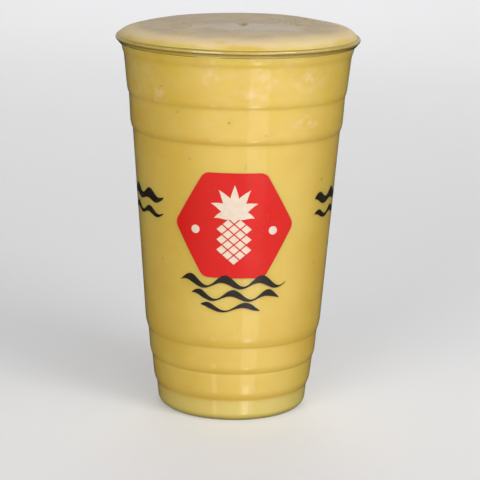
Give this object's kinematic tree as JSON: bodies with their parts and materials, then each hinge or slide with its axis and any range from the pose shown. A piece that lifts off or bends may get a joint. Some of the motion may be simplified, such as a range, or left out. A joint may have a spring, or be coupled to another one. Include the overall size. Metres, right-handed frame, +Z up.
{
  "type": "blended drink in a clear takeaway cup",
  "caption": "Tall clear plastic takeaway cup with ringed walls and a rolled lip, overfilled with a thick yellow blended drink that mounds up as froth.",
  "frame": {"origin": "centre of the cup's base, on the surface it stands on", "axes": "+Z up along the cup's axis; the printed badge faces -Y"},
  "size_m": [0.098, 0.098, 0.1589],
  "materials": {
    "clear_plastic": "gloss",
    "drink": "satin",
    "red_ink": "gloss",
    "cream_ink": "gloss",
    "black_ink": "gloss"
  },
  "bodies": {
    "root": {"cup": "clear_plastic", "drink": "drink"}
  },
  "joints": []
}
